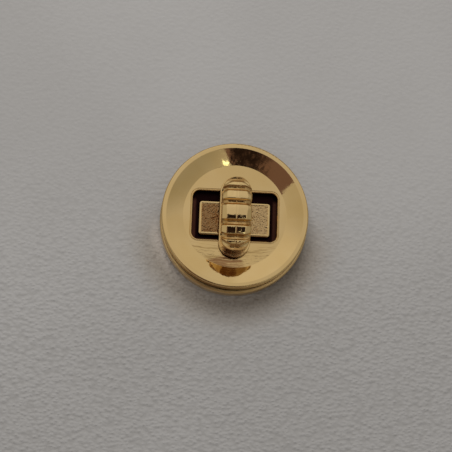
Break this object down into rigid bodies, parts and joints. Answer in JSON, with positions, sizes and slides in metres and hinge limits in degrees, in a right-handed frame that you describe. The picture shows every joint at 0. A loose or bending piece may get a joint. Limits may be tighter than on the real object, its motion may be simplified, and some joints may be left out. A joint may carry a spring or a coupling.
{
  "type": "bag turn lock",
  "caption": "Round polished gold turn lock: dished flap plate with a rectangular opening, on a base with a raised stand and a ribbed turning knob.",
  "frame": {"origin": "on the knob's turning axis at the back face of the base back plate", "axes": "+Z along the knob's axis, out of the bag; the locked knob's length lies along Y and the opening's length along X"},
  "size_m": [0.0304, 0.0307, 0.0124],
  "materials": {
    "polished_gold": "polished pale gold plate on a zinc casting",
    "plated_steel": "thin gold plate on pressed steel",
    "spring_steel": "bright spring steel",
    "screw_steel": "plated small screws",
    "zinc_casting": "bare zinc casting"
  },
  "bodies": {
    "base_half": {"base": "polished_gold", "base_back_plate": "plated_steel", "mechanism_cover": "plated_steel", "spring_washer": "spring_steel", "detent_spring_north": "spring_steel", "detent_spring_south": "spring_steel", "base_screw_1": "screw_steel", "base_screw_2": "screw_steel", "base_screw_3": "screw_steel", "base_screw_4": "screw_steel", "cover_screw_1": "screw_steel", "cover_screw_2": "screw_steel"},
    "knob": {"turn_knob": "polished_gold", "detent_cam": "zinc_casting", "retaining_washer": "plated_steel"},
    "flap_half": {"face_plate": "polished_gold", "flap_back_plate": "plated_steel", "flap_screw_1": "screw_steel", "flap_screw_2": "screw_steel", "flap_screw_3": "screw_steel", "flap_screw_4": "screw_steel"}
  },
  "joints": [
    {"name": "knob_turn", "type": "hinge", "parent": "base_half", "child": "knob", "pos_m": [0, 0, 0.006], "axis": [0, 0, 1], "continuous": true},
    {"name": "flap_lift", "type": "slide", "parent": "base_half", "child": "flap_half", "axis": [0, 0, 1], "range_m": [0, 0.0005]}
  ]
}
